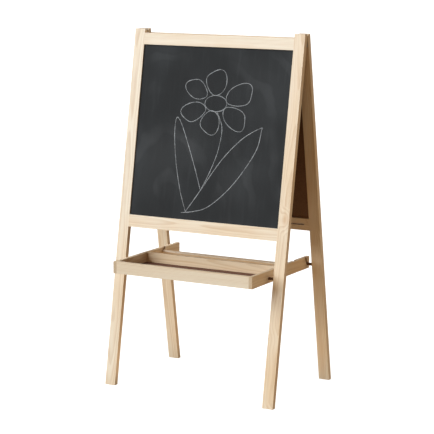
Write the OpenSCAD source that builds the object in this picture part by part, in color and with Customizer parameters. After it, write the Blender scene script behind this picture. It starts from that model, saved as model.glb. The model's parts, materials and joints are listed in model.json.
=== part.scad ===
// Double-sided A-frame easel for small children: two hinged pine frames with
// drawing boards, and a tray whose long arms brace the frames and hold a paper rod.
// X runs across the easel, the tray is at -Y, Z is up, and the feet stand on Z = 0.

/* [Frames] */
// Width over the legs
easel_w = 620; // [520:5:720]
// Length of each leg along its inner face, from the hinge line to the floor
leg_len = 1175; // [1050:5:1300]
// Face width of a leg
leg_w = 37; // [30:1:50]
// Thickness of a leg, front to back
leg_t = 17; // [15:1:22]
// Chamfer on the inner edge of each leg's top, which leaves room for the hinge
leg_chamfer = 6; // [4:0.5:8]
// Lean of each frame from upright, in degrees
lean_deg = 9.7; // [8.5:0.1:11]
// Gap between the two frames when they lie flat together
hinge_gap = 1.5; // [1:0.1:3]

/* [Rails] */
// Thickness of every rail, flush with the outer face of the legs
rail_t = 15; // [13:0.5:15]
// Height of the top rails
top_rail_h = 38; // [34:1:46]
// Distance from the leg tops down to the top rails
top_rail_drop = 13.5; // [10:0.5:20]
// Height of the bottom rails
bottom_rail_h = 40; // [36:1:50]
// Distance from the leg tops down to the bottom rails
bottom_rail_drop = 612; // [560:2:620]
// Height of the paper slot in the rear bottom rail
paper_slot_h = 4; // [3:0.5:7]
// Plain wood left at each end of the paper slot
paper_slot_margin = 19; // [18:1:60]

/* [Boards] */
// Thickness of the drawing boards
board_t = 4; // [3:0.5:5]
// Depth of the grooves that hold the boards
groove_d = 5; // [4:0.5:5]
// How far the boards lie behind the outer faces of the frames
board_recess = 4; // [3:0.5:5]

/* [Tray] */
// Width over the tray arms
tray_w = 506; // [420:2:510]
// Length of a tray arm
arm_len = 405; // [400:1:415]
// Height of the tray's sides
arm_h = 39; // [36:0.5:40]
// Thickness of the tray's boards
arm_t = 12; // [10:1:14]
// Depth of the tray box, front to back
box_len = 201.5; // [180:0.5:220]
// Thickness of the tray's bottom panel
panel_t = 4; // [3:0.5:5]
// Distance along the legs from their tops down to the pivot and the rest pins
pin_drop = 770.5; // [768:0.5:780]
// Distance from the tray's front to its pivot
pivot_s = 113; // [100:1:113]
// Height of the pivot above the lower edge of the arms
pivot_h = 15; // [13:0.5:17]

/* [Paper rod] */
// Diameter of the paper rod
rod_d = 13; // [10:0.5:14]
// Length of the paper rod
rod_len = 495; // [480:1:495]
// Distance from the tray's front to the rod
rod_s = 293; // [270:1:310]
// Height of the rod above the lower edge of the arms
rod_h = 25; // [20:0.5:26]

/* [Hardware] */
// Diameter of the rest pins where they lie in the arms
rest_pin_d = 9; // [8:0.5:9.5]
// Diameter of the spacers and of the shoulders of the rest pins
spacer_d = 9.6; // [9:0.1:11]
// Diameter of the pivot pins and of every pin's stud
stud_d = 6; // [5:0.5:6]
// Width of the hinges between the leg tops
leaf_w = 30; // [24:1:30]
// Length of the hinge leaves down the legs
leaf_drop = 40; // [38:1:60]

/* [Hidden] */
$fn = 48;

// Colours
pine = "#E9D3B0";
dowel_wood = "#DDBE8E";
hardboard = "#5C3A26";
slate = "#3B3B3E";
board_white = "#F2F2EE";
dark_bronze = "#4A3420";
zinc = "#B9BCC0";
brass_yellow = "#C2A052";

FRONT = -1;
REAR = 1;
LEFT = -1;
RIGHT = 1;
eps = 0.01;
running = 0.05;

// Frames
inner_w = easel_w - 2 * leg_w;
hinge_z = leg_len * cos(lean_deg);
rail_in = leg_t - rail_t;
board_in = leg_t - board_recess - board_t;
board_fit = 0.1;
groove_gap = 0.5;
opening_top = top_rail_drop + top_rail_h;
slot_drop = bottom_rail_drop + bottom_rail_h / 2;
foot_spare = 20;
foot_reach = (hinge_gap / 2 + leg_t) / cos(lean_deg) + hinge_z * tan(lean_deg);

// Dowels between rails and legs
dowel_r = 4;
dowel_len = 30;
dowel_inset = 10;
dowel_gap = 0.5;
dowel_y = rail_in + rail_t / 2;
top_dowels = [top_rail_drop + dowel_inset, top_rail_drop + top_rail_h - dowel_inset];
bottom_dowels = [bottom_rail_drop + dowel_inset, bottom_rail_drop + bottom_rail_h - dowel_inset];

// Pivot and rest pins, measured from the hinge line
pin_reach = (hinge_gap / 2 + leg_t / 2) * cos(lean_deg) + pin_drop * sin(lean_deg);
pin_z = hinge_z + (hinge_gap / 2 + leg_t / 2) * sin(lean_deg) - pin_drop * cos(lean_deg);
tray_reach = pin_reach + pivot_s;
hinge_y = (tray_reach - foot_reach) / 2;
arm_in = tray_w / 2 - arm_t;
side_play = 0.25;
insert_len = 16;
insert_r = 5;
stud_len = 14;
pin_chamfer = 1;
pocket_depth = 7;
pocket_gap = 0.5;
spacer_waist = 1.4;
waist_from = 0.45;
waist_to = 0.61;
waist_slope = 0.03;

// Slot for the rest pin: the pin leaves it upwards and forwards as the easel folds
rest_s = pivot_s + 2 * pin_reach;
rest_slot_play = 0.5;
rest_slot_r = rest_pin_d / 2 + rest_slot_play;
rest_slot_deg = 57.7;
rod_slot_play = 0.3;
rod_slot_r = rod_d / 2 + rod_slot_play;
rod_slot_deg = 45;
channel_step = 0.1;
rod_bevel = 1;

// Tray box
panel_h0 = 3;
tray_dowel_r = 3;
tray_dowel_len = 16;
tray_dowel_h = [14, 29];

// Hinges, let into the inner faces of the legs
hinge_x = easel_w / 2 - leg_w / 2;
knuckle_r = 2.6;
hinge_pin_r = 1.25;
hinge_pin_head_r = 1.95;
hinge_pin_head_t = 0.8;
hinge_pin_tail = 0.4;
hinge_pin_room = 1;
knuckle_room = 0.4;
knuckle_sweep = 0.6;
leaf_t = 1.2;
knuckle_w = leaf_w / 3;
knuckle_gap = 0.2;
screw_r = 1.75;
screw_len = 12;
screw_head_r = 3;
screw_spots = [[-8, 12], [8, 12], [0, 32]];

// Moves a piece from its frame's own axes to its place: Y points out of the
// frame's inner face, Z runs up the legs, and Z = 0 is level with the hinge line.
module in_frame(side) {
    translate([0, hinge_y, hinge_z])
        mirror([0, side < 0 ? 1 : 0, 0])
            rotate([lean_deg, 0, 0])
                translate([0, hinge_gap / 2, 0])
                    children();
}

// Moves a piece from the tray's own axes to its place: Y = 0 is the tray's front
// and Z = 0 is its lower edge.
module in_tray() {
    translate([0, hinge_y - tray_reach, pin_z - pivot_h])
        children();
}

// Lays a shape that stands on Z along X instead, starting at x and growing by hand
module along_x(x, y, z, hand) {
    translate([x, y, z])
        rotate([0, hand * 90, 0])
            children();
}

// ---- Frames -----------------------------------------------------------------

// The board itself, or with spare thickness and the full reach the grooves for it
module board_slab(fit, reach) {
    half = inner_w / 2 + reach;
    low = bottom_rail_drop + reach;
    high = opening_top - reach;
    translate([-half, board_in - fit, -low])
        cube([2 * half, board_t + 2 * fit, low - high]);
}

module dowel_row(drops, radius, spare) {
    for (hand = [LEFT, RIGHT])
        for (drop = drops)
            translate([hand * inner_w / 2 - dowel_len / 2 - spare, dowel_y, -drop])
                rotate([0, 90, 0])
                    cylinder(h = dowel_len + 2 * spare, r = radius);
}

module pin_hole(hand) {
    along_x(hand * (inner_w / 2 - eps), leg_t / 2, -pin_drop, hand)
        cylinder(h = insert_len + dowel_gap, r = insert_r + running);
}

module leg_top_cut() {
    face = leg_chamfer * sqrt(2);
    rotate([45, 0, 0])
        translate([-easel_w, -face / 2, -face / 2])
            cube([2 * easel_w, face, face]);
}

module leg(side, hand) {
    x0 = hand < 0 ? -easel_w / 2 : inner_w / 2;
    color(pine)
        difference() {
            in_frame(side)
                difference() {
                    translate([x0, 0, -leg_len - foot_spare])
                        cube([leg_w, leg_t, leg_len + foot_spare]);
                    board_slab(board_fit, groove_d);
                    dowel_row(top_dowels, dowel_r + running, dowel_gap);
                    dowel_row(bottom_dowels, dowel_r + running, dowel_gap);
                    pin_hole(hand);
                    leg_top_cut();
                    hinge_mortise(hand);
                    leaf_screws(hand, running);
                }
            translate([-easel_w, -easel_w, -2 * foot_spare])
                cube([2 * easel_w, 2 * easel_w, 2 * foot_spare]);
        }
}

module rail_bar(drop, height) {
    translate([-inner_w / 2, rail_in, -drop - height])
        cube([inner_w, rail_t, height]);
}

module top_rail(side) {
    color(pine)
        in_frame(side)
            difference() {
                rail_bar(top_rail_drop, top_rail_h);
                board_slab(board_fit, groove_d);
                dowel_row(top_dowels, dowel_r + running, dowel_gap);
            }
}

module bottom_rail(side) {
    color(pine)
        in_frame(side)
            difference() {
                rail_bar(bottom_rail_drop, bottom_rail_h);
                board_slab(board_fit, groove_d);
                dowel_row(bottom_dowels, dowel_r + running, dowel_gap);
                if (side == REAR)
                    paper_slot();
            }
}

module paper_slot() {
    half = inner_w / 2 - paper_slot_margin - paper_slot_h / 2;
    translate([-half, 0, -slot_drop - paper_slot_h / 2])
        cube([2 * half, leg_t + 1, paper_slot_h]);
    for (hand = [LEFT, RIGHT])
        translate([hand * half, 0, -slot_drop])
            rotate([-90, 0, 0])
                cylinder(h = leg_t + 1, r = paper_slot_h / 2);
}

module board_panel(side, tone) {
    color(tone)
        in_frame(side)
            board_slab(0, groove_d - groove_gap);
}

module dowels(side) {
    color(dowel_wood)
        in_frame(side) {
            dowel_row(top_dowels, dowel_r, 0);
            dowel_row(bottom_dowels, dowel_r, 0);
        }
}

// ---- Hinges -----------------------------------------------------------------

module leaf_screws(hand, fit) {
    for (spot = screw_spots)
        translate([hand * hinge_x + spot[0], 0, -spot[1]])
            rotate([-90, 0, 0]) {
                cylinder(h = leaf_t, r1 = screw_head_r + fit, r2 = screw_r + fit);
                cylinder(h = screw_len + fit, r = screw_r + fit);
            }
}

// Shallow recess for a leaf, with room at the top for the knuckles and the pin's ends
module hinge_mortise(hand) {
    width = leaf_w + 2 * knuckle_gap;
    left = hand * hinge_x - width / 2;
    translate([left, -1, -leaf_drop - knuckle_gap])
        cube([width, leaf_t + 1, leaf_drop + 1]);
    translate([left - hinge_pin_room, -hinge_gap / 2, 0])
        rotate([0, 90, 0])
            cylinder(h = width + 2 * hinge_pin_room, r = knuckle_r + knuckle_room);
}

module knuckle_block(x0, width) {
    translate([x0, -hinge_gap / 2, 0])
        rotate([0, 90, 0])
            cylinder(h = width, r = knuckle_r);
    translate([x0, 0, -leaf_drop / 2])
        cube([width, leaf_t, leaf_drop / 2]);
}

module hinge_leaf(side, hand) {
    left = hand * hinge_x - leaf_w / 2;
    below = knuckle_r + knuckle_sweep;
    color(zinc)
        in_frame(side)
            difference() {
                union() {
                    translate([left, 0, -leaf_drop])
                        cube([leaf_w, leaf_t, leaf_drop - below]);
                    if (side == REAR)
                        knuckle_block(left + knuckle_w + knuckle_gap, knuckle_w - 2 * knuckle_gap);
                    else
                        for (x0 = [left, left + 2 * knuckle_w])
                            knuckle_block(x0, knuckle_w);
                }
                leaf_screws(hand, running);
                translate([left - 1, -hinge_gap / 2, 0])
                    rotate([0, 90, 0])
                        cylinder(h = leaf_w + 2, r = hinge_pin_r + running);
            }
}

module hinge_screws(side) {
    color(zinc)
        in_frame(side)
            for (hand = [LEFT, RIGHT])
                leaf_screws(hand, 0);
}

module hinge_pin(hand) {
    head = hinge_pin_head_t;
    shank_end = leaf_w + head;
    tail_end = shank_end + hinge_pin_tail;
    color(zinc)
        translate([hand * hinge_x - leaf_w / 2 - head, hinge_y, hinge_z])
            rotate([0, 90, 0])
                rotate_extrude()
                    polygon([
                        [0, 0], [hinge_pin_head_r - head / 2, 0], [hinge_pin_head_r, head / 2],
                        [hinge_pin_head_r, head - eps], [hinge_pin_r, head - eps],
                        [hinge_pin_r, shank_end], [hinge_pin_r - hinge_pin_tail, tail_end],
                        [0, tail_end]
                    ]);
}

// ---- Tray pivot and rest pins --------------------------------------------------

module at_pin(side, hand, x) {
    translate([hand * x, hinge_y + side * pin_reach, pin_z])
        rotate([0, hand * 90, 0])
            children();
}

// Smooth end, shoulder and stud of a pin, from its tip in the arm to its end in the leg
module pin_shape(smooth_d, shoulder_d) {
    neck_len = pocket_depth - pocket_gap + side_play;
    shoulder_len = inner_w / 2 - tray_w / 2 - side_play;
    cylinder(h = pin_chamfer, r1 = smooth_d / 2 - pin_chamfer, r2 = smooth_d / 2);
    translate([0, 0, pin_chamfer])
        cylinder(h = neck_len, r = smooth_d / 2);
    translate([0, 0, neck_len])
        cylinder(h = shoulder_len, r = shoulder_d / 2);
    translate([0, 0, neck_len])
        cylinder(h = shoulder_len + stud_len, r = stud_d / 2);
}

module pivot_pin(hand) {
    color(dark_bronze)
        at_pin(FRONT, hand, tray_w / 2 - pocket_depth + pocket_gap)
            pin_shape(stud_d, stud_d);
}

module rest_pin(hand) {
    color(dark_bronze)
        at_pin(REAR, hand, tray_w / 2 - pocket_depth + pocket_gap)
            pin_shape(rest_pin_d, spacer_d);
}

module pivot_spacer(hand) {
    length = inner_w / 2 - tray_w / 2 - side_play;
    bore = stud_d / 2 + running;
    rim = spacer_d / 2;
    waist = rim - spacer_waist;
    color(dark_bronze)
        at_pin(FRONT, hand, tray_w / 2 + side_play)
            rotate_extrude()
                polygon([
                    [bore, 0], [rim, 0],
                    [rim, length * waist_from], [waist, length * (waist_from + waist_slope)],
                    [waist, length * (waist_to - waist_slope)], [rim, length * waist_to],
                    [rim, length], [bore, length]
                ]);
}

module insert_nuts(side) {
    color(brass_yellow)
        for (hand = [LEFT, RIGHT])
            at_pin(side, hand, inner_w / 2)
                difference() {
                    cylinder(h = insert_len, r = insert_r);
                    translate([0, 0, -1])
                        cylinder(h = insert_len + 2, r = stud_d / 2 + running);
                }
}

// ---- Tray -------------------------------------------------------------------

// Slot sunk in one face of an arm: a round seat and a channel to the upper edge
module arm_slot(s, h, radius, tilt_deg) {
    half = radius - channel_step;
    translate([s, h]) {
        circle(r = radius);
        rotate(tilt_deg)
            translate([0, -half])
                square([2 * arm_h, 2 * half]);
    }
}

// Thickens a shape drawn on an arm's side, between two distances from the middle
module between(hand, x0, x1) {
    translate([hand < 0 ? -x1 : x0, 0, 0])
        rotate([90, 0, 90])
            linear_extrude(x1 - x0)
                children();
}

// The tray's bottom panel, or the grooves for it, as for the boards
module bottom_slab(fit, reach) {
    half = arm_in + reach;
    front = arm_t - reach;
    back = box_len - arm_t + reach;
    translate([-half, front, panel_h0 - fit])
        cube([2 * half, back - front, panel_t + 2 * fit]);
}

module tray_dowel_set(radius, spare) {
    for (hand = [LEFT, RIGHT])
        for (s = [arm_t / 2, box_len - arm_t / 2])
            for (h = tray_dowel_h)
                translate([hand * arm_in - tray_dowel_len / 2 - spare, s, h])
                    rotate([0, 90, 0])
                        cylinder(h = tray_dowel_len + 2 * spare, r = radius);
}

module tray_arm(hand) {
    outside = tray_w / 2;
    color(pine)
        in_tray()
            difference() {
                between(hand, arm_in, outside)
                    square([arm_len, arm_h]);
                between(hand, outside - pocket_depth, outside + 1) {
                    translate([pivot_s, pivot_h])
                        circle(r = stud_d / 2 + running);
                    arm_slot(rest_s, pivot_h, rest_slot_r, 180 - rest_slot_deg);
                }
                between(hand, arm_in - 1, arm_in + pocket_depth)
                    arm_slot(rod_s, rod_h, rod_slot_r, rod_slot_deg);
                bottom_slab(board_fit, groove_d);
                tray_dowel_set(tray_dowel_r + running, dowel_gap);
            }
}

module tray_cross_board(s) {
    color(pine)
        in_tray()
            difference() {
                translate([-arm_in, s, 0])
                    cube([2 * arm_in, arm_t, arm_h]);
                bottom_slab(board_fit, groove_d);
                tray_dowel_set(tray_dowel_r + running, dowel_gap);
            }
}

module tray_bottom() {
    color(hardboard)
        in_tray()
            bottom_slab(0, groove_d - groove_gap);
}

module tray_dowels() {
    color(dowel_wood)
        in_tray()
            tray_dowel_set(tray_dowel_r, 0);
}

module rod() {
    color(pine)
        in_tray()
            translate([-rod_len / 2, rod_s, rod_h])
                rotate([0, 90, 0])
                    rotate_extrude()
                        polygon([
                            [0, 0], [rod_d / 2 - rod_bevel, 0], [rod_d / 2, rod_bevel],
                            [rod_d / 2, rod_len - rod_bevel], [rod_d / 2 - rod_bevel, rod_len],
                            [0, rod_len]
                        ]);
}

leg(FRONT, LEFT);  // front_leg_left
leg(FRONT, RIGHT);  // front_leg_right
top_rail(FRONT);  // front_top_rail
bottom_rail(FRONT);  // front_bottom_rail
board_panel(FRONT, slate);  // chalkboard_panel
dowels(FRONT);  // front_dowels
hinge_leaf(FRONT, LEFT);  // front_hinge_leaf_left
hinge_leaf(FRONT, RIGHT);  // front_hinge_leaf_right
hinge_screws(FRONT);  // front_hinge_screws
hinge_pin(LEFT);  // hinge_pin_left
hinge_pin(RIGHT);  // hinge_pin_right
pivot_pin(LEFT);  // pivot_pin_left
pivot_pin(RIGHT);  // pivot_pin_right
pivot_spacer(LEFT);  // pivot_spacer_left
pivot_spacer(RIGHT);  // pivot_spacer_right
insert_nuts(FRONT);  // front_insert_nuts
leg(REAR, LEFT);  // rear_leg_left
leg(REAR, RIGHT);  // rear_leg_right
top_rail(REAR);  // rear_top_rail
bottom_rail(REAR);  // rear_bottom_rail
board_panel(REAR, board_white);  // whiteboard_panel
dowels(REAR);  // rear_dowels
hinge_leaf(REAR, LEFT);  // rear_hinge_leaf_left
hinge_leaf(REAR, RIGHT);  // rear_hinge_leaf_right
hinge_screws(REAR);  // rear_hinge_screws
rest_pin(LEFT);  // rest_pin_left
rest_pin(RIGHT);  // rest_pin_right
insert_nuts(REAR);  // rear_insert_nuts
tray_arm(LEFT);  // tray_arm_left
tray_arm(RIGHT);  // tray_arm_right
tray_cross_board(0);  // tray_front_board
tray_cross_board(box_len - arm_t);  // tray_back_board
tray_bottom();  // tray_bottom_panel
tray_dowels();
rod();  // paper_rod
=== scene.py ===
"""Looks of a double-sided children's easel in lacquered pine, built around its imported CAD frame.

The camera and the studio come first. Then the file follows the easel as it is put together:
the legs, the rails and their dowels, the boards, the hinges between the leg tops, the pins,
the tray and the rod.
"""

import json
import math

import bmesh
import bpy
import numpy as np
from mathutils import Euler, Matrix, Vector


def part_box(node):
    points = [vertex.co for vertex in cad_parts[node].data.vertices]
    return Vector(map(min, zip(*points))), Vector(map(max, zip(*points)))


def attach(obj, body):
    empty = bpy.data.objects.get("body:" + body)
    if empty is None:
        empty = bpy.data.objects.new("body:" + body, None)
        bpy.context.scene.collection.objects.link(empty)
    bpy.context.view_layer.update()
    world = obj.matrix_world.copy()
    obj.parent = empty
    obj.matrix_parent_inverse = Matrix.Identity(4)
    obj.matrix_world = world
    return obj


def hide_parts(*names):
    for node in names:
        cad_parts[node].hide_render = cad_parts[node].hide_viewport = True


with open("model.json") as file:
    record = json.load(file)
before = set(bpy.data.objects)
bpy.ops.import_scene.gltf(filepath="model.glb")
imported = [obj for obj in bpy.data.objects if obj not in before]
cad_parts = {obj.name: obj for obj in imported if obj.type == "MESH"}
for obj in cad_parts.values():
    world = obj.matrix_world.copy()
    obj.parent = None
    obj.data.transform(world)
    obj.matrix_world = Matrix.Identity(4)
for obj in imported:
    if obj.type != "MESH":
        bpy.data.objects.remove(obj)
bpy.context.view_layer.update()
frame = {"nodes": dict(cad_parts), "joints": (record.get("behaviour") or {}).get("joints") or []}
nodes = frame["nodes"]
joints = {joint["name"]: joint for joint in frame["joints"]}


# ---- Camera ------------------------------------------------------------------
# A long lens a few metres in front of the easel and to its right, a little above
# the boards, as in a catalogue picture. It looks slightly down and is barely tilted.

def studio_camera(place, turn_deg, down_deg, roll_deg, lens_mm):
    """Makes the camera look along +Y, turned by turn_deg towards -X, down by down_deg, and
    rolled by roll_deg about its own axis."""
    data = bpy.data.cameras.new("studio_camera")
    data.lens = lens_mm
    data.sensor_width = 36.0
    data.clip_end = 200.0
    camera = bpy.data.objects.new("studio_camera", data)
    aim = Euler((math.radians(90.0 - down_deg), 0.0, math.radians(turn_deg)), "XYZ")
    roll = Matrix.Rotation(math.radians(roll_deg), 4, "Z")
    camera.matrix_world = Matrix.Translation(place) @ aim.to_matrix().to_4x4() @ roll
    bpy.context.scene.collection.objects.link(camera)
    bpy.context.scene.camera = camera


hinge_line = Vector(joints["frame_fold"]["pos_m"])
studio_camera(
    place=(2.6055, hinge_line.y - 4.7507, 1.4594),
    turn_deg=28.84,
    down_deg=9.48,
    roll_deg=0.3,
    lens_mm=139.2,
)


# ---- Studio ------------------------------------------------------------------
# A white floor and white surroundings. A cool key light comes from the front left, low
# enough to reach under the boards. A back light and low warm cards lift the other sides.

SURROUNDINGS_FILL = 0.20
FLOOR_REACH = 60.0
FLOOR_DROP = 0.0005
FLOOR_GLOW = 0.88


class Value:
    """A shader socket that can be used in ordinary arithmetic."""

    def __init__(self, finish, socket):
        self.finish = finish
        self.socket = socket

    def _maths(self, operation, first, second):
        return self.finish.node("Math", {"operation": operation}, {0: first, 1: second})

    def __add__(self, other):
        return self._maths("ADD", self, other)

    def __sub__(self, other):
        return self._maths("SUBTRACT", self, other)

    def __rsub__(self, other):
        return self._maths("SUBTRACT", other, self)

    def __mul__(self, other):
        return self._maths("MULTIPLY", self, other)


class Finish:
    """A material whose nodes are added by one method."""

    def __init__(self, name, **constants):
        self.material = bpy.data.materials.new(name)
        self.material.use_nodes = True
        self.tree = self.material.node_tree
        self.shader = self.tree.nodes["Principled BSDF"]
        for socket, value in constants.items():
            self.shader.inputs[socket.replace("_", " ")].default_value = value

    def node(self, kind, settings=None, inputs=None, out=0):
        made = self.tree.nodes.new("ShaderNode" + kind)
        for key, value in (settings or {}).items():
            setattr(made, key, value)
        for key, value in (inputs or {}).items():
            self.connect(made.inputs[key], value)
        return Value(self, made.outputs[out])

    def connect(self, socket, value):
        if isinstance(value, Value):
            self.tree.links.new(value.socket, socket)
        elif isinstance(value, tuple) and len(value) == 3 and socket.type == "RGBA":
            socket.default_value = (*value, 1.0)
        else:
            socket.default_value = value

    def set(self, socket, value):
        self.connect(self.shader.inputs[socket], value)

    def mix(self, factor, first, second):
        """Runs from the first colour to the second as the factor goes from 0 to 1."""
        settings = {"data_type": "RGBA", "clamp_result": True}
        return self.node("Mix", settings, {0: factor, 6: first, 7: second}, out=2)

    def step(self, value, low, high, to_low=0.0, to_high=1.0):
        """Goes softly from to_low to to_high as the value goes from low to high."""
        settings = {"interpolation_type": "SMOOTHSTEP"}
        return self.node("MapRange", settings, {0: value, 1: low, 2: high, 3: to_low, 4: to_high})

    def noise(self, vector, scale, detail=2.0, roughness=0.5):
        inputs = {"Vector": vector, "Scale": scale, "Detail": detail, "Roughness": roughness}
        return self.node("TexNoise", {"noise_dimensions": "3D"}, inputs)

    def place(self, vector, location=(0, 0, 0), rotation=(0, 0, 0), scale=(1, 1, 1)):
        inputs = {"Vector": vector, "Location": location, "Rotation": rotation, "Scale": scale}
        return self.node("Mapping", {"vector_type": "POINT"}, inputs)

    def bump(self, height, distance, strength=1.0):
        inputs = {"Height": height, "Distance": distance, "Strength": strength}
        self.set("Normal", self.node("Bump", {}, inputs))

    def object_place(self):
        return self.node("TexCoord", {}, {}, out="Object")


def sun_light(name, colour, strength, from_left_deg, height_deg, spread_deg):
    """A broad light. from_left_deg is how far round to the left it stands, from straight in
    front of the chalkboard, and height_deg is how far above the horizon."""
    data = bpy.data.lights.new(name, "SUN")
    data.color = colour
    data.energy = strength
    data.angle = math.radians(spread_deg)
    light = bpy.data.objects.new(name, data)
    light.rotation_euler = (math.radians(90 - height_deg), 0, math.radians(-from_left_deg))
    bpy.context.scene.collection.objects.link(light)


def low_card(place, target, width, power, colour):
    """A low warm card, out of sight, that lifts the lower parts of the faces turned to it."""
    place, target = Vector(place), Vector(target)
    data = bpy.data.lights.new("low_card", "AREA")
    data.size = width
    data.energy = power
    data.color = colour
    card = bpy.data.objects.new("low_card", data)
    card.location = place
    card.rotation_euler = (target - place).to_track_quat("-Z", "Y").to_euler("XYZ")
    card.visible_camera = False
    bpy.context.scene.collection.objects.link(card)


def studio():
    """Sets the surroundings, the lights and a floor that neither lights nor mirrors itself
    in the easel."""
    scene = bpy.context.scene
    scene.view_settings.view_transform = "Standard"
    world = bpy.data.worlds.new("studio_surroundings")
    world.use_nodes = True
    scene.world = world
    tree = world.node_tree
    seen = tree.nodes["Background"]
    seen.inputs["Color"].default_value = (1, 1, 1, 1)
    seen.inputs["Strength"].default_value = 1.0
    fill = tree.nodes.new("ShaderNodeBackground")
    fill.inputs["Color"].default_value = (1.0, 0.80, 0.56, 1)
    fill.inputs["Strength"].default_value = SURROUNDINGS_FILL
    path = tree.nodes.new("ShaderNodeLightPath")
    join = tree.nodes.new("ShaderNodeMixShader")
    tree.links.new(path.outputs["Is Camera Ray"], join.inputs[0])
    tree.links.new(fill.outputs[0], join.inputs[1])
    tree.links.new(seen.outputs[0], join.inputs[2])
    tree.links.new(join.outputs[0], tree.nodes["World Output"].inputs["Surface"])

    for name, colour, strength, from_left_deg, height_deg, spread_deg in (
        ("key_light", (0.82, 0.92, 1.0), 3.3, 38, 28, 45),
        ("top_light", (1.0, 0.98, 0.94), 0.5, 20, 72, 60),
        ("back_light", (0.96, 0.98, 1.0), 1.5, 186, 32, 50),
    ):
        sun_light(name, colour, strength, from_left_deg, height_deg, spread_deg)
    for place, target, width, power, colour in (
        ((1.6, 0.3, 0.12), (0.2, 0.1, 0.2), 1.2, 5.5, (1.0, 0.74, 0.46)),
        ((1.2, -2.6, 0.12), (0.3, 0.2, 0.3), 0.8, 6.0, (1.0, 0.70, 0.40)),
        ((0, 0, 0.004), (0, 0, 1), 0.45, 0.65, (1.0, 0.70, 0.40)),
    ):
        low_card(place, target, width, power, colour)

    floor_mesh = bpy.data.meshes.new("studio_floor")
    corners = [(x * FLOOR_REACH, y * FLOOR_REACH) for x, y in ((-1, -1), (1, -1), (1, 1), (-1, 1))]
    floor_mesh.from_pydata([(x, y, -FLOOR_DROP) for x, y in corners], [], [(0, 1, 2, 3)])
    floor = bpy.data.objects.new("studio_floor", floor_mesh)
    scene.collection.objects.link(floor)
    paper = Finish("studio_paper", Base_Color=(0.4, 0.4, 0.4, 1), Roughness=0.9)
    paper.shader.inputs["Emission Color"].default_value = (1, 1, 1, 1)
    paper.shader.inputs["Emission Strength"].default_value = FLOOR_GLOW
    floor_mesh.materials.append(paper.material)
    floor.visible_diffuse = False
    floor.visible_glossy = False


studio()


# ---- Legs ----------------------------------------------------------------------
# Four planed pine battens with softened edges. Their tops are cut square with one chamfer
# and their feet are cut to stand flat; grooves, dowel holes and recesses are in each.

LEAN = math.radians(9.7)
EDGE_RADIUS = 0.0016
WELD = 1e-6
SAPWOOD, HEARTWOOD, RESIN = (0.875, 0.74, 0.57), (0.80, 0.58, 0.36), (0.60, 0.36, 0.17)
KNOT_RIM, KNOT_MIDDLE, END_GRAIN = (0.60, 0.31, 0.11), (0.26, 0.10, 0.035), (0.42, 0.26, 0.13)
# The second of these colours is painted shade: the dark brown put on the walls and floors of
# slots, where shade falls in them.
RUBBED_EDGE, PAINTED_SLOT_SHADE = (0.93, 0.83, 0.68), (0.22, 0.10, 0.040)


def eased_copy(node, name, radius=EDGE_RADIUS, segments=3, sharp_deg=30):
    """A copy of a CAD node with its flat faces joined up and its sharp edges rounded.
    The rounded faces are marked worn."""
    mesh = bpy.data.meshes.new(name)
    work = bmesh.new()
    work.from_mesh(nodes[node].data)
    bmesh.ops.remove_doubles(work, verts=work.verts, dist=WELD)
    bmesh.ops.dissolve_limit(
        work, angle_limit=math.radians(0.5), verts=work.verts, edges=work.edges
    )
    worn = work.faces.layers.float.new("worn")
    corners = [
        edge for edge in work.edges
        if len(edge.link_faces) == 2 and edge.calc_face_angle(0) > math.radians(sharp_deg)
    ]
    rounded = bmesh.ops.bevel(
        work, geom=corners, offset=radius, segments=segments, profile=0.5,
        affect="EDGES", clamp_overlap=True,
    )
    for face in rounded["faces"]:
        face[worn] = 1.0
    for face in work.faces:
        face.smooth = True
    work.to_mesh(mesh)
    work.free()
    piece = bpy.data.objects.new(name, mesh)
    bpy.context.scene.collection.objects.link(piece)
    even = piece.modifiers.new("even_normals", "WEIGHTED_NORMAL")
    even.weight = 100
    even.keep_sharp = False
    return piece


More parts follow.
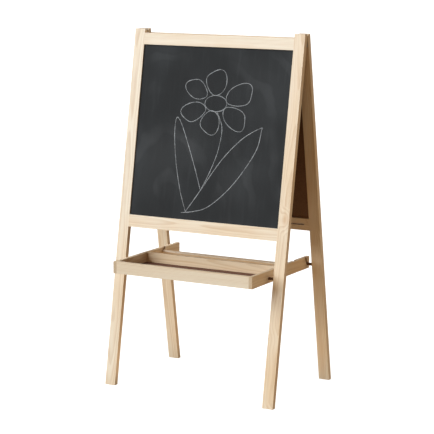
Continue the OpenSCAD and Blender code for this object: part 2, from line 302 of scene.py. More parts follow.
def pine(name, middle, grain, heart, seed, honey=0.4, knots=0.0, ring_mm=3.6):
    """Clear-lacquered pine. grain turns the piece's length onto Z. heart is how far the
    piece's middle lies from the heart of the tree, across its face and through it, which
    decides how the rings are cut. seed moves the piece along the trunk. honey leans its
    colour towards heartwood, and knots is 0 for a clear piece."""
    turn = Euler(grain).to_matrix()
    start = Vector((heart[0], heart[1], seed)) - turn @ middle
    wood = Finish(name, Coat_Roughness=0.22, IOR=1.5)
    raw = wood.place(wood.object_place(), location=tuple(start), rotation=grain)
    sway = wood.noise(wood.place(raw, scale=(2.6, 2.6, 1.3)), 1.0, 2.0)
    ripple = wood.noise(wood.place(raw, scale=(22, 22, 5)), 1.0, 2.0)
    tremble = wood.noise(wood.place(raw, scale=(60, 60, 7)), 1.0, 3.0)
    across = wood.node("SeparateXYZ", {}, {0: raw}, out=0)
    through = wood.node("SeparateXYZ", {}, {0: raw}, out=1)

    branch = {"feature": "F1", "voronoi_dimensions": "3D"}
    cells = {"Vector": wood.place(raw, scale=(15, 15, 8)), "Scale": 1.0}
    nearest = wood.node("TexVoronoi", branch, cells, out="Distance")
    lots = wood.node("TexVoronoi", branch, cells, out="Color")
    drawn = wood.step(wood.node("SeparateColor", {}, {0: lots}), 0.74, 0.76) * knots
    pull = wood.step(nearest, 0.0, 0.45, 1.0, 0.0) * drawn

    radius = wood.node("Math", {"operation": "SQRT"}, {0: across * across + through * through})
    rings = radius + sway * 0.034 + ripple * 0.0045 + tremble * 0.0012 + pull * 0.012
    rings = rings * (1000.0 / ring_mm)
    phase = wood.node("Math", {"operation": "FRACT"}, {0: rings})
    late = wood.step(phase, 0.25, 0.9) * wood.step(phase, 0.9, 1.0, 1.0, 0.0)
    fibre = wood.noise(wood.place(raw, scale=(900, 900, 14)), 1.0, 2.0, 0.6)
    streak = wood.noise(wood.place(raw, scale=(95, 95, 2.2)), 1.0, 3.0, 0.55)
    patch = wood.noise(wood.place(raw, scale=(14, 14, 3.2)), 1.0, 3.0)
    knot = wood.step(nearest, 0.06, 0.11, 1.0, 0.0) * drawn
    halo = wood.step(nearest, 0.06, 0.27, 1.0, 0.0) * drawn
    facing = wood.node("TexCoord", {}, {}, out="Normal")
    turned = wood.node("Mapping", {"vector_type": "NORMAL"}, {"Vector": facing, "Rotation": grain})
    along = wood.node("SeparateXYZ", {}, {0: turned}, out=2)
    cut_end = wood.step(along * along, 0.6, 0.9)

    age = wood.step(patch + streak * 0.35, 0.45, 0.85, 0.0, 0.7) + honey * 0.5
    colour = wood.mix(age, SAPWOOD, HEARTWOOD)
    colour = wood.mix(late * wood.step(streak, 0.25, 0.7, 0.18, 0.5), colour, RESIN)
    colour = wood.mix(wood.step(fibre, 0.35, 0.75) * 0.14, colour, RESIN)
    colour = wood.mix(wood.step(streak, 0.58, 0.78) * 0.22, colour, RESIN)
    colour = wood.mix(halo * 0.55, colour, KNOT_RIM)
    colour = wood.mix(knot * 0.85, colour, KNOT_MIDDLE)
    colour = wood.mix(cut_end * (late * 0.3 + 0.42), colour, END_GRAIN)
    worn = wood.node("Attribute", {"attribute_name": "worn"}, {}, out="Fac")
    rubbed = worn * wood.step(wood.noise(raw, 60.0), 0.35, 0.7, 0.15, 0.5) * (1 - cut_end)
    colour = wood.mix(rubbed, colour, RUBBED_EDGE)
    # Painted shade: faces inside slots are darkened towards the brown of the shade that falls in
    # them, and are left rough and uncoated.
    shaded_slot_faces = wood.node("Attribute", {"attribute_name": "shaded_slot_faces"}, {}, out="Fac")
    colour = wood.mix(shaded_slot_faces * wood.step(streak, 0.2, 0.7, 0.85, 0.6), colour, PAINTED_SLOT_SHADE)
    wood.set("Base Color", colour)
    satin = wood.step(fibre * 0.6 + patch * 0.5, 0.2, 0.9, 0.34, 0.52)
    bare = wood.node("Math", {"operation": "MAXIMUM"}, {0: cut_end * 0.8, 1: shaded_slot_faces})
    wood.set("Roughness", satin + rubbed * 0.12 + cut_end * 0.2 + shaded_slot_faces * 0.45)
    wood.set("Coat Weight", wood.step(patch, 0.2, 0.8, 0.22, 0.38) * (1 - bare))
    wood.bump(late * 0.5 + fibre * 0.35 - knot * 0.3, 0.00025, 0.55)
    return wood.material


def pine_piece(node, name, body, grain, heart, seed, slot="pine", radius=EDGE_RADIUS, **look):
    """An eased piece of pine that stands for one CAD node."""
    piece = eased_copy(node, name, radius=radius)
    low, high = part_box(node)
    middle = (Vector(low) + Vector(high)) / 2
    piece.data.materials.append(pine(name + "_pine", middle, grain, heart, seed, **look))
    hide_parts(node)
    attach(piece, body)
    return piece


for side, hand, heart, seed, honey, knots in (
    ("front", "left", (0.008, 0.052), 0.4, 0.05, 0.0),
    ("front", "right", (-0.012, 0.044), 2.3, 0.5, 1.0),
    ("rear", "left", (0.010, 0.038), 4.1, 0.1, 1.0),
    ("rear", "right", (-0.030, 0.040), 6.2, 0.55, 1.0),
):
    pine_piece(
        f"{side}_leg_{hand}",
        f"{side}_{hand}_batten",
        f"{side}_frame",
        grain=(LEAN if side == "front" else -LEAN, 0, 0),
        heart=heart,
        seed=seed,
        honey=honey,
        knots=knots,
    )


# ---- Rails -----------------------------------------------------------------------
# Two pine rails tie each pair of legs, dowelled into them and grooved for the board.
# The lower rear rail has a long slot through it, which paper from the rod is pulled through.

ALONG_X = (0, math.radians(-90), 0)
ALONG_Y = (math.radians(90), 0, 0)
PAPER_SLOT_EDGE = 0.0005


def paint_slot_shade(piece, lean=0.0, within=1.0, skin=0.0008):
    """Marks for painted shade the faces that lie deeper than skin inside a piece's outline
    and nearer than within to the easel's middle, which are the walls and floors of its slots.
    lean turns the piece upright first."""
    upright = Matrix.Rotation(lean, 3, "X")
    places = [upright @ vert.co for vert in piece.data.vertices]
    low = [min(place[i] for place in places) + skin for i in range(3)]
    high = [max(place[i] for place in places) - skin for i in range(3)]
    shaded_slot_faces = piece.data.attributes.new("shaded_slot_faces", "FLOAT", "FACE")
    for face in piece.data.polygons:
        middle = upright @ face.center
        inside = all(low[i] < middle[i] < high[i] for i in range(3))
        shaded_slot_faces.data[face.index].value = 1.0 if inside and abs(middle.x) < within else 0.0


for side, level, heart, seed, honey in (
    ("front", "top", (0.050, 0.020), 1.2, 0.15),
    ("front", "bottom", (0.012, 0.036), 3.3, 0.1),
    ("rear", "top", (0.046, 0.016), 5.2, 0.6),
    ("rear", "bottom", (0.006, 0.050), 7.4, 1.1),
):
    rail = pine_piece(
        f"{side}_{level}_rail",
        f"{side}_{level}_crosspiece",
        f"{side}_frame",
        grain=ALONG_X,
        heart=heart,
        seed=seed,
        honey=honey,
        knots=1.0 if side == "rear" else 0.0,
        radius=PAPER_SLOT_EDGE if (side, level) == ("rear", "bottom") else EDGE_RADIUS,
    )
    if (side, level) == ("rear", "bottom"):
        # Painted shade on the walls of the paper slot.
        paint_slot_shade(rail, -LEAN)


# ---- Fluted dowels -----------------------------------------------------------------
# Short beech dowels with pressed flutes hold rails to legs and the tray's boards to its
# arms. One dowel is shaped once and set at the middle of every hole.

def lone_piece(name, work):
    """Turns finished mesh work into an object that other pieces are repeated from."""
    bmesh.ops.recalc_face_normals(work, faces=work.faces)
    mesh = bpy.data.meshes.new(name)
    work.to_mesh(mesh)
    work.free()
    return bpy.data.objects.new(name, mesh)


def lathe(profile, steps, flutes=0.0, hollow=False):
    """Turns a profile of (radius, height) round Z. With flutes, every other step of the
    widest part is pressed in by that depth. A hollow one joins its last row to its first
    where a solid one has end faces."""
    work = bmesh.new()
    widest = max(radius for radius, height in profile)
    rows = []
    for radius, height in profile:
        row = []
        for step in range(steps):
            pressed = flutes if flutes and step % 2 and radius == widest else 0.0
            turn = 2 * math.pi * step / steps
            reach = radius - pressed
            row.append(work.verts.new((reach * math.cos(turn), reach * math.sin(turn), height)))
        rows.append(row)
    for low, high in zip(rows, rows[1:] + rows[:1] if hollow else rows[1:]):
        for step in range(steps):
            after = (step + 1) % steps
            work.faces.new((low[step], low[after], high[after], high[step]))
    if not hollow:
        work.faces.new(list(reversed(rows[0])))
        work.faces.new(rows[-1])
    return work


def fluted_dowel(radius, length):
    """A dowel along Z about its middle, with bevelled ends."""
    bevel = radius * 0.28
    half = length / 2
    profile = [
        (radius - bevel, -half), (radius, -half + bevel), (radius, half - bevel),
        (radius - bevel, half),
    ]
    return lone_piece("fluted_dowel_pattern", lathe(profile, 32, flutes=radius * 0.07))


def repeating_tree():
    """Geometry nodes that set a pattern at every point and bake it to one mesh."""
    tree = bpy.data.node_groups.new("set_at_points", "GeometryNodeTree")
    for label, kind in (
        ("Geometry", "Geometry"), ("Pattern", "Object"), ("Aim", "Vector"),
        ("Turn", "Float"), ("Seed", "Int"), ("Finish", "Material"),
    ):
        tree.interface.new_socket(label, in_out="INPUT", socket_type="NodeSocket" + kind)
    tree.interface.new_socket("Geometry", in_out="OUTPUT", socket_type="NodeSocketGeometry")
    start, end, source, spin, aim, turned, whole, put, dress = (
        tree.nodes.new(kind) for kind in (
            "NodeGroupInput", "NodeGroupOutput", "GeometryNodeObjectInfo",
            "FunctionNodeRandomValue", "ShaderNodeCombineXYZ", "FunctionNodeRotateEuler",
            "GeometryNodeRealizeInstances", "GeometryNodeInstanceOnPoints",
            "GeometryNodeSetMaterial",
        )
    )
    turned.rotation_type = "EULER"
    turned.space = "LOCAL"
    links = [
        (start.outputs["Pattern"], source.inputs["Object"]),
        (start.outputs["Turn"], spin.inputs[3]),
        (start.outputs["Seed"], spin.inputs["Seed"]),
        (spin.outputs[1], aim.inputs["Z"]),
        (start.outputs["Aim"], turned.inputs["Rotation"]),
        (aim.outputs["Vector"], turned.inputs["Rotate By"]),
        (start.outputs["Geometry"], put.inputs["Points"]),
        (source.outputs["Geometry"], put.inputs["Instance"]),
        (turned.outputs["Rotation"], put.inputs["Rotation"]),
        (put.outputs["Instances"], whole.inputs["Geometry"]),
        (whole.outputs["Geometry"], dress.inputs["Geometry"]),
        (start.outputs["Finish"], dress.inputs["Material"]),
        (dress.outputs["Geometry"], end.inputs["Geometry"]),
    ]
    for output, target in links:
        tree.links.new(output, target)
    return tree


SET_AT_POINTS = repeating_tree()
FULL_TURN = 6.28


def set_at(name, points, pattern, aim, finish, turn=0.0, seed=1):
    """One mesh with the pattern at every point, aimed alike, each turned at random."""
    mesh = bpy.data.meshes.new(name + "_points")
    mesh.from_pydata([tuple(point) for point in points], [], [])
    holder = bpy.data.objects.new(name + "_points", mesh)
    bpy.context.scene.collection.objects.link(holder)
    bpy.context.scene.collection.objects.link(pattern)
    modifier = holder.modifiers.new("set_at_points", "NODES")
    modifier.node_group = SET_AT_POINTS
    values = {"Pattern": pattern, "Aim": aim, "Turn": turn, "Seed": seed, "Finish": finish}
    for item in SET_AT_POINTS.interface.items_tree:
        if item.in_out == "INPUT" and item.name in values:
            modifier[item.identifier] = values[item.name]
    ready = holder.evaluated_get(bpy.context.evaluated_depsgraph_get())
    made = bpy.data.meshes.new_from_object(ready)
    made.name = name
    piece = bpy.data.objects.new(name, made)
    bpy.context.scene.collection.objects.link(piece)
    bpy.data.objects.remove(holder)
    bpy.data.objects.remove(pattern)
    return piece


def loose_parts(node):
    """The box of each separate solid in a CAD node, as (lowest, highest) corners."""
    work = bmesh.new()
    work.from_mesh(nodes[node].data)
    bmesh.ops.remove_doubles(work, verts=work.verts, dist=WELD)
    left = set(work.verts)
    boxes = []
    while left:
        todo = [left.pop()]
        part = []
        while todo:
            vert = todo.pop()
            part.append(vert.co.copy())
            for edge in vert.link_edges:
                other = edge.other_vert(vert)
                if other in left:
                    left.remove(other)
                    todo.append(other)
        coords = np.array(part)
        boxes.append((Vector(coords.min(0)), Vector(coords.max(0))))
    work.free()
    return sorted(boxes, key=lambda corners: tuple(round(value, 5) for value in corners[0]))


def beech(name):
    """Raw beech with short dark flecks along the dowel."""
    wood = Finish(name, Roughness=0.62)
    raw = wood.place(wood.object_place(), rotation=ALONG_X)
    fleck = wood.noise(wood.place(raw, scale=(900, 900, 60)), 1.0, 2.0)
    ring = wood.noise(wood.place(raw, scale=(160, 160, 5)), 1.0, 2.0)
    colour = wood.mix(wood.step(ring, 0.3, 0.7), (0.72, 0.50, 0.29), (0.62, 0.40, 0.21))
    colour = wood.mix(wood.step(fleck, 0.55, 0.75) * 0.5, colour, (0.42, 0.24, 0.11))
    wood.set("Base Color", colour)
    wood.bump(fleck, 0.0001)
    return wood.material


BEECH = beech("raw_beech")
SIDEWAYS = (0, math.radians(90), 0)

for node, body, seed in (
    ("front_dowels", "front_frame", 3),
    ("rear_dowels", "rear_frame", 4),
    ("tray_dowels", "tray", 5),
):
    holes = loose_parts(node)
    low, high = holes[0]
    pattern = fluted_dowel((high.z - low.z) / 2, high.x - low.x)
    middles = [(a + b) / 2 for a, b in holes]
    dowels = set_at(node + "_fluted", middles, pattern, SIDEWAYS, BEECH, FULL_TURN, seed)
    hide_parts(node)
    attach(dowels, body)


# ---- Boards ------------------------------------------------------------------------
# Thin brown hardboard in the grooves of each frame. The front one is rolled with slate
# paint on its outer face, dusty from wiped chalk; the rear one is faced with white film.

BOARD_EDGE = 0.0004
BACK_BROWN = ((0.15, 0.066, 0.026), (0.23, 0.11, 0.046))
SLATE, CHALK_DUST, GRIT = (0.0112, 0.0112, 0.0118), (0.62, 0.63, 0.65), (0.052, 0.053, 0.056)
CLEAN_FILM, MARKER_GHOST = (0.88, 0.91, 0.94), (0.68, 0.72, 0.80)


def hardboard(name, dark, light):
    """Felted brown fibre, pressed against a mesh, with darker clouds."""
    board = Finish(name, Roughness=0.72)
    raw = board.object_place()
    felt = board.noise(board.place(raw, scale=(260, 260, 260)), 1.0, 4.0, 0.7)
    cloud = board.noise(board.place(raw, scale=(9, 9, 9)), 1.0, 3.0)
    colour = board.mix(board.step(felt, 0.3, 0.7), dark, light)
    darkest = tuple(0.75 * part for part in dark)
    colour = board.mix(board.step(cloud, 0.35, 0.7) * 0.35, colour, darkest)
    board.set("Base Color", colour)
    mesh_marks = board.node(
        "TexWave", {"wave_type": "BANDS", "bands_direction": "DIAGONAL"},
        {"Vector": raw, "Scale": 190.0, "Distortion": 0.6},
    )
    board.bump(felt + mesh_marks * 0.4, 0.00025, 0.7)
    return board.material


def slate_paint(name, lean):
    """Matt slate paint. The dust left by wiping lies in broad swipes along the board."""
    slate = Finish(name, IOR=1.35)
    raw = slate.place(slate.object_place(), rotation=(lean, 0, 0))
    grit = slate.noise(slate.place(raw, scale=(1400, 1400, 1400)), 1.0, 2.0)
    slanted = slate.place(raw, scale=(7, 1, 2.2), rotation=(0, 0.35, 0))
    broad = slate.place(raw, location=(3.1, 0, 0.4), scale=(3.2, 1, 3.2))
    thin = slate.place(raw, scale=(70, 1, 9), rotation=(0, 0.5, 0))
    swipe = slate.noise(slanted, 1.0, 5.0, 0.62)
    cloud = slate.noise(broad, 1.0, 3.0, 0.55)
    wipe = slate.noise(thin, 1.0, 3.0)
    dust = slate.step(swipe, 0.45, 0.78) * 0.020 + slate.step(cloud, 0.42, 0.75) * 0.024
    dust = dust + slate.step(wipe, 0.5, 0.8) * 0.008
    about = slate.place(raw, location=(0.12, 0, -0.62))
    arcs = slate.node(
        "TexWave", {"wave_type": "RINGS", "rings_direction": "Y"},
        {"Vector": about, "Scale": 2.6, "Distortion": 7.0, "Detail": 3.0, "Detail Scale": 1.4},
        out="Fac",
    )
    dust = dust + slate.step(arcs, 0.72, 0.98) * slate.step(cloud, 0.45, 0.7) * 0.022
    colour = slate.mix(dust, SLATE, CHALK_DUST)
    colour = slate.mix(slate.step(grit, 0.62, 0.8) * 0.25, colour, GRIT)
    slate.set("Base Color", colour)
    slate.set("Roughness", slate.step(swipe, 0.3, 0.8, 0.62, 0.82))
    slate.bump(grit, 0.0002, 0.6)
    return slate.material


def white_film(name):
    """Glossy white film with faint ghosts of wiped marker."""
    film = Finish(name, Coat_Roughness=0.08)
    raw = film.object_place()
    ghost = film.noise(film.place(raw, scale=(3, 1, 8), rotation=(0, 0.6, 0)), 1.0, 4.0, 0.6)
    ripple = film.noise(film.place(raw, scale=(45, 45, 45)), 1.0, 2.0)
    colour = film.mix(film.step(ghost, 0.55, 0.85) * 0.14, CLEAN_FILM, MARKER_GHOST)
    film.set("Base Color", colour)
    film.set("Roughness", film.step(ghost, 0.3, 0.8, 0.16, 0.30))
    film.set("Coat Weight", film.step(ripple, 0.2, 0.8, 0.4, 0.6))
    film.bump(ripple, 0.0002, 0.35)
    return film.material


def faced_board(node, name, body, outward, face_finish):
    """Hardboard whose faces that look outward carry the drawing surface."""
    piece = eased_copy(node, name, radius=BOARD_EDGE, segments=2)
    piece.data.materials.append(hardboard(name + "_back", *BACK_BROWN))
    piece.data.materials.append(face_finish)
    for face in piece.data.polygons:
        if face.normal.dot(outward) > 0.9:
            face.material_index = 1
    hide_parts(node)
    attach(piece, body)


front_out = Vector((0, -math.cos(LEAN), math.sin(LEAN)))
rear_out = Vector((0, math.cos(LEAN), math.sin(LEAN)))
faced_board(
    "chalkboard_panel", "slate_faced_board", "front_frame", front_out,
    slate_paint("slate_paint", LEAN),
)
faced_board(
    "whiteboard_panel", "white_faced_board", "rear_frame", rear_out,
    white_film("white_film"),
)


# ---- Chalk drawing --------------------------------------------------------------------
# A child's flower in white chalk on the slate: round petals about a heart, a bent stem
# and two long leaves. Each line is a thin crumbly layer of chalk on the paint.

face_out = max(vert.co.dot(front_out) for vert in nodes["chalkboard_panel"].data.vertices)
hinge_to_face = face_out - hinge_line.dot(front_out)
down_board = Vector((0, -math.sin(LEAN), -math.cos(LEAN)))
CHALK_WIDTH = 0.0026
CHALK_THICK = 0.00022
CHALK_EDGE_LIFT = 0.00002
CHALK_UNDER_LIFT = 0.00001


def on_slate(x, drop, lift):
    """A point over the chalkboard's face: x across, drop down the board from the hinge line."""
    return hinge_line + Vector((x, 0, 0)) + down_board * drop + front_out * (hinge_to_face + lift)


def smooth_line(points, steps=10):
    """A smooth line through all the points."""
    padded = [points[0], *points, points[-1]]
    line = []
    for before, start, end, after in zip(padded, padded[1:], padded[2:], padded[3:]):
        before, start, end, after = (np.array(p, float) for p in (before, start, end, after))
        for step in range(steps):
            t = step / steps
            bend = 2 * start + (end - before) * t
            bend = bend + (2 * before - 5 * start + 4 * end - after) * t * t
            line.append((bend + (3 * start - before - 3 * end + after) * t ** 3) / 2)
    line.append(np.array(points[-1], float))
    return line


def petal(heart, turn_deg, distance, half_length, half_width, wobble, steps=32):
    """An uneven loop whose middle lies at a distance from the heart, turned from upright."""
    turn = math.radians(turn_deg)
    out = np.array([math.sin(turn), -math.cos(turn)])
    side = np.array([-out[1], out[0]])
    loop = []
    for step in range(steps + 1):
        t = math.pi + 2 * math.pi * step / steps
        along = distance + half_length * math.cos(t)
        across = half_width * math.sin(t) * (1.0 + 0.16 * math.cos(t))
        bump = 1.0 + 0.04 * math.sin(3 * t + wobble)
        loop.append(np.array(heart) + out * along * bump + side * across * bump)
    return loop


def chalk_line(work, middle, line, shade):
    """Adds one low bead of chalk along a line on the board. The middle layer is 1 on its
    crest. shade shifts the waver of its width."""
    rows = []
    for index, spot in enumerate(line):
        ahead = line[min(index + 1, len(line) - 1)] - line[max(index - 1, 0)]
        ahead = ahead / max(np.linalg.norm(ahead), 1e-9)
        side = np.array([-ahead[1], ahead[0]]) * CHALK_WIDTH / 2
        wobble = 1.0 + 0.22 * math.sin(index * 1.7 + shade * 9.0)
        row = []
        for offset, lift, mark in (
            (-1, CHALK_EDGE_LIFT, 0.0), (0, CHALK_THICK, 1.0), (1, CHALK_EDGE_LIFT, 0.0),
        ):
            at = np.array(spot) + side * offset * wobble
            vert = work.verts.new(on_slate(at[0], at[1], lift))
            vert[middle] = mark
            row.append(vert)
        row.append(work.verts.new(on_slate(spot[0], spot[1], CHALK_UNDER_LIFT)))
        rows.append(row)
    for low, high in zip(rows, rows[1:]):
        for a in range(4):
            b = (a + 1) % 4
            work.faces.new((low[a], low[b], high[b], high[a]))
    work.faces.new(rows[0])
    work.faces.new(list(reversed(rows[-1])))


def chalk(name):
    """White chalk that has caught only on the high spots of the paint."""
    stick = Finish(name, Roughness=0.95)
    raw = stick.object_place()
    grain = stick.noise(stick.place(raw, scale=(900, 900, 900)), 1.0, 3.0, 0.7)
    press = stick.noise(stick.place(raw, scale=(28, 28, 28)), 1.0, 2.0)
    middle = stick.node("Attribute", {"attribute_name": "middle"}, {}, out="Fac")
    caught = stick.step(grain + press * 0.5 + middle * 0.35, 0.62, 1.0)
    stick.set("Base Color", stick.mix(press, (0.60, 0.61, 0.63), (0.74, 0.75, 0.77)))
    stick.set("Alpha", caught * 0.38)
    stick.bump(grain, 0.0003)
    return stick.material


def chalk_flower():
    """The whole drawing as one piece, in places given as (across, down) on the board."""
    work = bmesh.new()
    middle = work.verts.layers.float.new("middle")
    heart_at = (0.012, 0.232)
    heart = [
        np.array(heart_at) + np.array([0.040 * math.cos(t), 0.026 * math.sin(t)])
        for t in np.linspace(0.3, 0.3 + 2 * math.pi, 29)
    ]
    lines = [heart]
    for turn, distance, half_length, half_width in (
        (-2, 0.067, 0.041, 0.037), (70, 0.088, 0.050, 0.034), (122, 0.083, 0.047, 0.032),
        (193, 0.063, 0.038, 0.034), (250, 0.084, 0.045, 0.030), (300, 0.084, 0.041, 0.030),
    ):
        lines.append(petal(heart_at, turn, distance, half_length, half_width, turn * 0.05))
    stem = [(0.020, 0.260), (0.042, 0.310), (0.034, 0.385), (0.010, 0.455), (-0.018, 0.515)]
    left_leaf = [
        (-0.018, 0.512), (-0.046, 0.440), (-0.085, 0.350), (-0.112, 0.296), (-0.128, 0.286),
        (-0.130, 0.340), (-0.116, 0.430), (-0.092, 0.520), (-0.066, 0.586),
    ]
    right_leaf = [
        (-0.066, 0.586), (-0.018, 0.515), (0.050, 0.412), (0.118, 0.340), (0.180, 0.302),
        (0.184, 0.312), (0.172, 0.372), (0.126, 0.450), (0.074, 0.514), (0.012, 0.566),
        (-0.040, 0.584), (-0.082, 0.590),
    ]
    for points in (stem, left_leaf, right_leaf):
        lines.append(smooth_line(points))
    for index, line in enumerate(lines):
        chalk_line(work, middle, line, 0.3 + 0.37 * index)
    bmesh.ops.recalc_face_normals(work, faces=work.faces)
    mesh = bpy.data.meshes.new("chalk_flower")
    work.to_mesh(mesh)
    work.free()
    mesh.materials.append(chalk("white_chalk"))
    piece = bpy.data.objects.new("chalk_flower", mesh)
    bpy.context.scene.collection.objects.link(piece)
    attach(piece, "front_frame")


chalk_flower()


# ---- Hinges ------------------------------------------------------------------------
# A small zinc-plated butt hinge is let into each pair of leg tops, its knuckles between
# them. Three countersunk cross-head screws hold each leaf.

def zinc_plate(name):
    """Bright zinc with fine spangles, scuffed along X and dulled in places."""
    zinc = Finish(name, Metallic=1.0)
    raw = zinc.object_place()
    cells = {"Vector": raw, "Scale": 420.0}
    crystal = zinc.node("TexVoronoi", {"feature": "F1"}, cells, out="Color")
    spangle = zinc.node("SeparateColor", {}, {0: crystal})
    scuff = zinc.noise(zinc.place(raw, scale=(60, 900, 900)), 1.0, 3.0)
    tarnish = zinc.noise(raw, 90.0, 3.0)
    dull = zinc.step(tarnish, 0.45, 0.75) * 0.5
    zinc.set("Base Color", zinc.mix(dull, (0.66, 0.67, 0.69), (0.47, 0.47, 0.46)))
    zinc.set("Roughness", spangle * 0.10 + zinc.step(scuff, 0.3, 0.8, 0.24, 0.42))
    zinc.bump(scuff, 0.00006)
    return zinc.material


ZINC = zinc_plate("zinc_plate")


def metal_piece(node, name, body, finish, radius):
    """An eased piece of metal that stands for one CAD node."""
    piece = eased_copy(node, name, radius=radius, segments=2, sharp_deg=35)
    piece.data.materials.append(finish)
    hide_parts(node)
    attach(piece, body)


for side in ("front", "rear"):
    for hand in ("left", "right"):
        metal_piece(
            f"{side}_hinge_leaf_{hand}", f"{side}_{hand}_leaf", f"{side}_frame", ZINC,
            0.00025,
        )
for hand in ("left", "right"):
    metal_piece(
        f"hinge_pin_{hand}", f"{hand}_hinge_wire", "front_frame", ZINC, 0.0001
    )


def cross_head_screw(head_radius, shank_radius, head_depth, length, turns=7):
    """A countersunk wood screw that points along +Z, with a thread and a cross recess."""
    smooth, point, tip = 0.001, 0.0025, 0.002
    profile = [
        (head_radius * 0.93, 0.0), (head_radius, head_depth * 0.12),
        (shank_radius, head_depth), (shank_radius, head_depth + smooth),
    ]
    pitch = (length - head_depth - smooth - point) / turns
    for turn in range(turns):
        base = head_depth + smooth + turn * pitch
        profile.append((shank_radius * 0.72, base + pitch * 0.2))
        profile.append((shank_radius * 0.98, base + pitch * 0.6))
    profile += [(shank_radius * 0.7, length - tip), (shank_radius * 0.12, length)]
    screw = lone_piece("cross_head_screw_pattern", lathe(profile, 24))
    cutter_work = bmesh.new()
    for turn in (0, 90):
        arm = bmesh.ops.create_cube(cutter_work, size=1.0)
        shape = Matrix.Rotation(math.radians(turn), 4, "Z") @ Matrix.Diagonal(
            (head_radius * 1.15, head_radius * 0.26, head_depth * 1.5, 1.0)
        )
        bmesh.ops.transform(cutter_work, matrix=shape, verts=arm["verts"])
    cutter = lone_piece("cross_cutter", cutter_work)
    for part in (screw, cutter):
        bpy.context.scene.collection.objects.link(part)
    cut = screw.modifiers.new("cross", "BOOLEAN")
    cut.object = cutter
    cut.operation = "DIFFERENCE"
    cut.solver = "EXACT"
    cut.use_self = True
    ready = screw.evaluated_get(bpy.context.evaluated_depsgraph_get())
    mesh = bpy.data.meshes.new_from_object(ready)
    bpy.data.objects.remove(screw)
    bpy.data.objects.remove(cutter)
    return bpy.data.objects.new("cross_head_screw_pattern", mesh)


SCREW_LENGTH = 0.012
for side, out, seed in (("front", front_out, 11), ("rear", rear_out, 12)):
    holes = loose_parts(f"{side}_hinge_screws")
    heads = [(low + high) / 2 - out * SCREW_LENGTH / 2 for low, high in holes]
    low, high = holes[0]
    pattern = cross_head_screw(
        (high.x - low.x) / 2, shank_radius=0.00175, head_depth=0.0012, length=SCREW_LENGTH
    )
    aim = tuple(out.to_track_quat("Z", "Y").to_euler("XYZ"))
    screws = set_at(f"{side}_leaf_screws", heads, pattern, aim, ZINC, turn=3.0, seed=seed)
    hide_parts(f"{side}_hinge_screws")
    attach(screws, f"{side}_frame")


# ---- Pivot pins, spacers and rest pins ---------------------------------------------------
# The tray turns on a dark bronzed pin at each front leg, held off the leg by a waisted
# spacer. At the rear its arms lie on shouldered pins. All four screw into brass inserts.

def bronzed_steel(name):
    """Browned steel, rubbed to a warmer metal along its edges."""
    steel = Finish(name, Metallic=0.45)
    raw = steel.object_place()
    pit = steel.noise(raw, 700.0, 2.0)
    rub = steel.noise(raw, 140.0, 3.0)
    worn = steel.node("Attribute", {"attribute_name": "worn"}, {}, out="Fac")
    bare = worn * steel.step(rub, 0.4, 0.7, 0.1, 0.6)
    colour = steel.mix(steel.step(rub, 0.3, 0.7), (0.105, 0.042, 0.014), (0.16, 0.070, 0.026))
    colour = steel.mix(bare, colour, (0.34, 0.20, 0.10))
    steel.set("Base Color", colour)
    steel.set("Roughness", steel.step(pit, 0.3, 0.8, 0.34, 0.52))
    steel.bump(pit, 0.00005)
    return steel.material


BRONZED = bronzed_steel("bronzed_steel")
for hand in ("left", "right"):
    for node, name, body, radius in (
        ("pivot_pin", "tray_pin", "front_frame", 0.0003),
        ("pivot_spacer", "tray_spacer", "front_frame", 0.0005),
        ("rest_pin", "shouldered_pin", "rear_frame", 0.0005),
    ):
        metal_piece(f"{node}_{hand}", f"{hand}_{name}", body, BRONZED, radius)


def brass(name):
    """Turned brass with fine rings along X."""
    metal = Finish(name, Metallic=1.0)
    turned = metal.noise(metal.place(metal.object_place(), scale=(2500, 40, 40)), 1.0, 2.0)
    metal.set("Base Color", metal.mix(turned, (0.72, 0.52, 0.22), (0.60, 0.41, 0.16)))
    metal.set("Roughness", metal.step(turned, 0.3, 0.8, 0.28, 0.42))
    metal.bump(turned, 0.00005)
    return metal.material


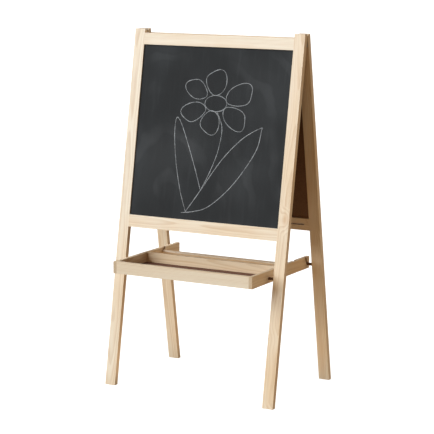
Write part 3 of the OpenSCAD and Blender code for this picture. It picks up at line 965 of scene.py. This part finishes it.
def threaded_insert(radius, bore, length, ribs=8):
    """A sleeve with a coarse ribbed outside, as wide as its hole, and a plain bore."""
    pitch = length / ribs
    profile = [(bore, 0.0), (radius * 0.97, 0.0)]
    for rib in range(ribs):
        profile += [(radius * 0.86, (rib + 0.2) * pitch), (radius, (rib + 0.65) * pitch)]
    profile += [(radius * 0.92, length), (bore, length)]
    work = lathe(profile, 32, hollow=True)
    for vert in work.verts:
        vert.co.z -= length / 2
    return lone_piece("threaded_insert_pattern", work)


BRASS = brass("turned_brass")
INSERT_BORE = 0.00305
for side in ("front", "rear"):
    sleeves = loose_parts(f"{side}_insert_nuts")
    low, high = sleeves[0]
    pattern = threaded_insert((high.z - low.z) / 2, INSERT_BORE, high.x - low.x)
    middles = [(a + b) / 2 for a, b in sleeves]
    inserts = set_at(f"{side}_threaded_inserts", middles, pattern, SIDEWAYS, BRASS)
    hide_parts(f"{side}_insert_nuts")
    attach(inserts, f"{side}_frame")


# ---- Tray --------------------------------------------------------------------------
# Two long pine arms carry a shallow box in front and are notched behind it for the paper
# rod and the rest pins. The box has a front board, a back board and a red-brown floor.

FLOOR_BROWN = ((0.125, 0.044, 0.024), (0.19, 0.072, 0.040))
for hand, heart, seed in (("left", (0.030, 0.020), 1.7), ("right", (0.036, 0.012), 8.3)):
    arm = pine_piece(
        f"tray_arm_{hand}", f"{hand}_tray_rail", "tray", ALONG_Y, heart, seed,
        honey=0.5, knots=1.0,
    )
    low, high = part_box(f"tray_arm_{hand}")
    # Painted shade on the walls and floors of the arms' slots for the rod and the rest pins.
    paint_slot_shade(arm, within=abs(low[0] + high[0]) / 2)
pine_piece("tray_front_board", "tray_lip", "tray", ALONG_X, (0.040, 0.024), 2.9, honey=-1.0)
pine_piece("tray_back_board", "tray_back", "tray", ALONG_X, (0.018, 0.052), 6.6, honey=0.5)
tray_floor = eased_copy("tray_bottom_panel", "tray_floor", radius=0.0005, segments=2)
tray_floor.data.materials.append(hardboard("tray_hardboard", *FLOOR_BROWN))
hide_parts("tray_bottom_panel")
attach(tray_floor, "tray")


# ---- Paper rod ------------------------------------------------------------------------
# A turned softwood rod that carries the roll of paper. It drops into the slanted slots of
# the tray's arms and lifts out of them for a new roll.

pine_piece(
    "paper_rod", "turned_rod", "paper_rod", ALONG_X, (0.020, 0.011), 3.8, slot="rod_wood",
    radius=0.0006, honey=0.3, ring_mm=2.4,
)
